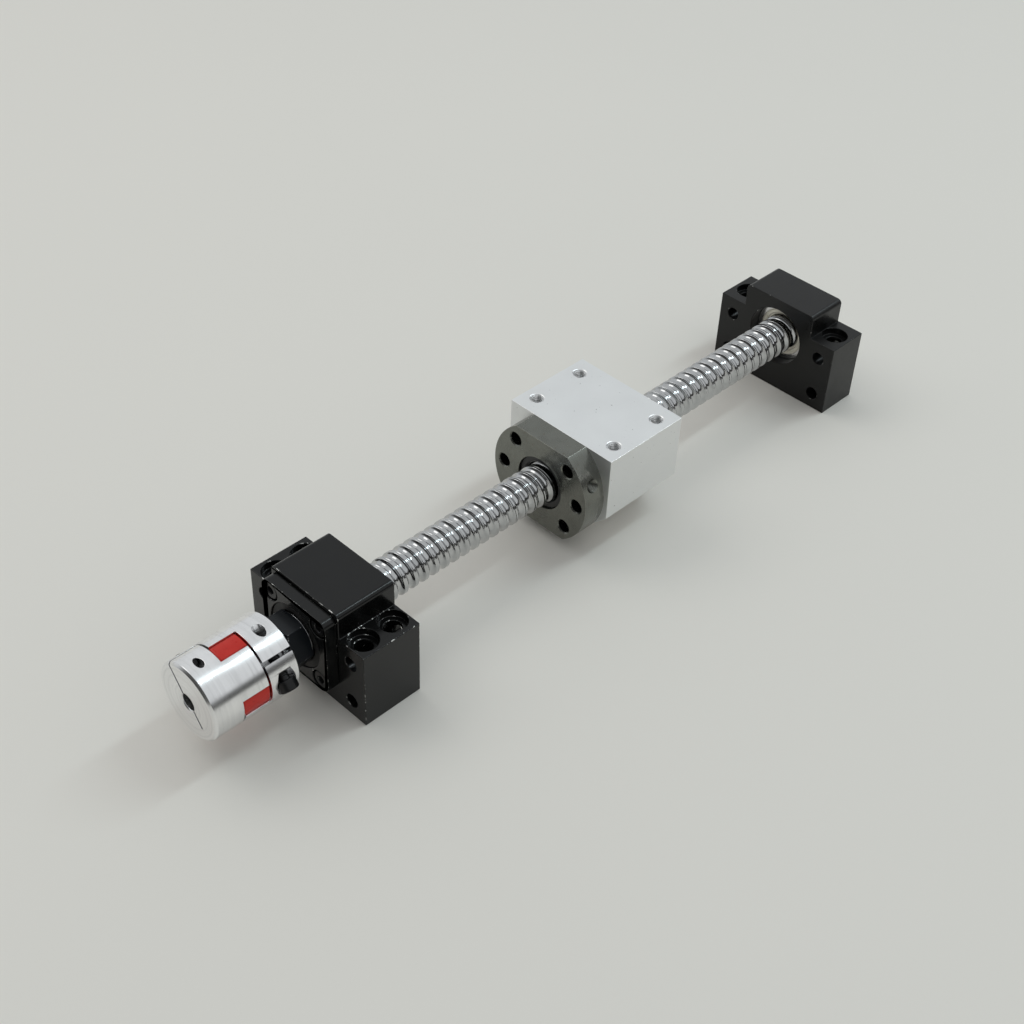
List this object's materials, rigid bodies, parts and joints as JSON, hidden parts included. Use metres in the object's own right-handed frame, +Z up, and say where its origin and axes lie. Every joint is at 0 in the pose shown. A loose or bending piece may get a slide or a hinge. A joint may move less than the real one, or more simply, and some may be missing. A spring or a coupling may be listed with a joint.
{
  "type": "ball screw assembly",
  "caption": "Rolled ball screw between a fixed and a floating support block, with a flanged ball nut in an aluminium housing block and a jaw coupling on the driven end.",
  "frame": {"origin": "centre of the fixed support's base bolt pattern on the mounting plane, under the screw axis", "axes": "+X along the screw from the coupling towards the floating support, +Z up from the mounting plane, +Y completes a right-handed frame"},
  "size_m": [0.3285, 0.06, 0.045],
  "materials": {
    "black_housing": "black oxide, satin to glossy",
    "black_screws": "black oxide, oiled",
    "black_nut": "blue-black oxide",
    "bearing_steel": "ground and polished",
    "cage_steel": "pressed sheet",
    "shield_steel": "pressed sheet, plated",
    "spring_steel": "phosphated",
    "collar_steel": "ground",
    "seal_rubber": "moulded",
    "pad_brass": "plain",
    "screw_steel": "rolled and polished",
    "nut_steel": "ground, slightly tinted",
    "wiper_plastic": "moulded",
    "cap_plastic": "moulded",
    "block_aluminium": "fine matte anodised",
    "coupling_aluminium": "turned, bright",
    "spider_red": "polyurethane"
  },
  "bodies": {
    "supports": {"fixed_housing": "black_housing", "fixed_cover": "black_housing", "fixed_cover_screws": "black_screws", "fixed_front_outer_ring": "bearing_steel", "fixed_rear_outer_ring": "bearing_steel", "fixed_front_seal": "seal_rubber", "fixed_rear_seal": "seal_rubber", "floating_housing": "black_housing", "floating_outer_ring": "bearing_steel", "floating_shields": "shield_steel"},
    "screw": {"screw_shaft": "screw_steel", "fixed_front_inner_ring": "bearing_steel", "fixed_rear_inner_ring": "bearing_steel", "fixed_front_collar": "collar_steel", "fixed_rear_collar": "collar_steel", "lock_nut": "black_nut", "lock_nut_set_screws": "black_screws", "lock_nut_pads": "pad_brass", "floating_inner_ring": "bearing_steel", "floating_snap_ring": "spring_steel", "coupling_motor_hub": "coupling_aluminium", "coupling_screw_hub": "coupling_aluminium", "coupling_spider": "spider_red", "coupling_motor_clamp_screw": "black_screws", "coupling_screw_clamp_screw": "black_screws"},
    "nut": {"ball_nut": "nut_steel", "nut_balls": "bearing_steel", "nut_return_caps": "cap_plastic", "nut_front_wiper": "wiper_plastic", "nut_rear_wiper": "wiper_plastic", "nut_housing_block": "block_aluminium"},
    "fixed_front_ball_set": {"fixed_front_balls": "bearing_steel", "fixed_front_cage": "cage_steel"},
    "fixed_rear_ball_set": {"fixed_rear_balls": "bearing_steel", "fixed_rear_cage": "cage_steel"},
    "floating_ball_set": {"floating_balls": "bearing_steel", "floating_cage": "cage_steel"}
  },
  "joints": [
    {"name": "screw_spin", "type": "hinge", "parent": "supports", "child": "screw", "pos_m": [0, 0, 0.025], "axis": [1, 0, 0], "range_deg": [-6480, 5760]},
    {"name": "nut_travel", "type": "slide", "parent": "supports", "child": "nut", "axis": [1, 0, 0], "range_m": [-0.0801, 0.0901]},
    {"name": "fixed_front_ball_orbit", "type": "hinge", "parent": "supports", "child": "fixed_front_ball_set", "pos_m": [0, 0, 0.025], "axis": [1, 0, 0], "range_deg": [-2480, 2205]},
    {"name": "fixed_rear_ball_orbit", "type": "hinge", "parent": "supports", "child": "fixed_rear_ball_set", "pos_m": [0, 0, 0.025], "axis": [1, 0, 0], "range_deg": [-2480, 2205]},
    {"name": "floating_ball_orbit", "type": "hinge", "parent": "supports", "child": "floating_ball_set", "pos_m": [0.2555, 0, 0.025], "axis": [1, 0, 0], "range_deg": [-2410, 2145]}
  ],
  "couplings": [
    {"joint": "nut_travel", "follows": "screw_spin", "m_per_rad": -0.00079577},
    {"joint": "fixed_front_ball_orbit", "follows": "screw_spin", "ratio": 0.381},
    {"joint": "fixed_rear_ball_orbit", "follows": "screw_spin", "ratio": 0.381},
    {"joint": "floating_ball_orbit", "follows": "screw_spin", "ratio": 0.3677}
  ]
}
